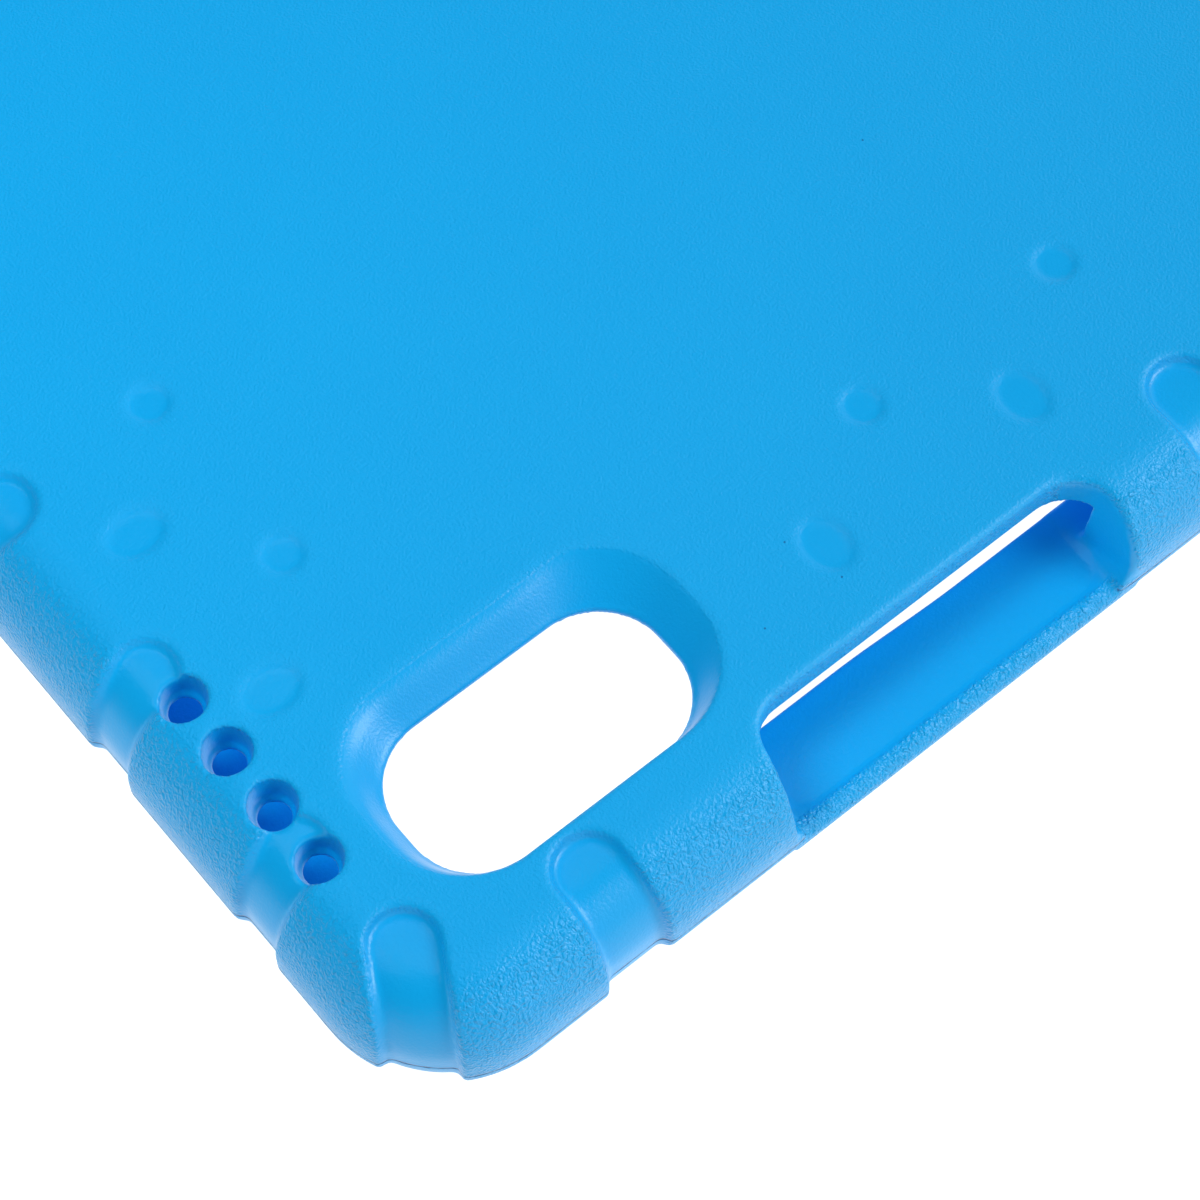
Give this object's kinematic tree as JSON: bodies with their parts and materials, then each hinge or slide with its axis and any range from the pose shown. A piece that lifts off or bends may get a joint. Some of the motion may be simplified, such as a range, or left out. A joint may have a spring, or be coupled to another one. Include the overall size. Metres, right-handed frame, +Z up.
{
  "type": "kids tablet case",
  "caption": "Thick moulded foam shell for a tablet, open over the screen, with a camera opening, button slot, sound holes and finger grooves.",
  "frame": {"origin": "middle of the case in plan, on the plane that its front rim rests on", "axes": "+X along the long side, towards the charging port; +Y across, away from the button slot; +Z up, out of the case's back"},
  "size_m": [0.2686, 0.1896, 0.0175],
  "materials": {
    "eva_foam": "matte, fine grained"
  },
  "bodies": {
    "root": {"case_shell": "eva_foam"}
  },
  "joints": []
}
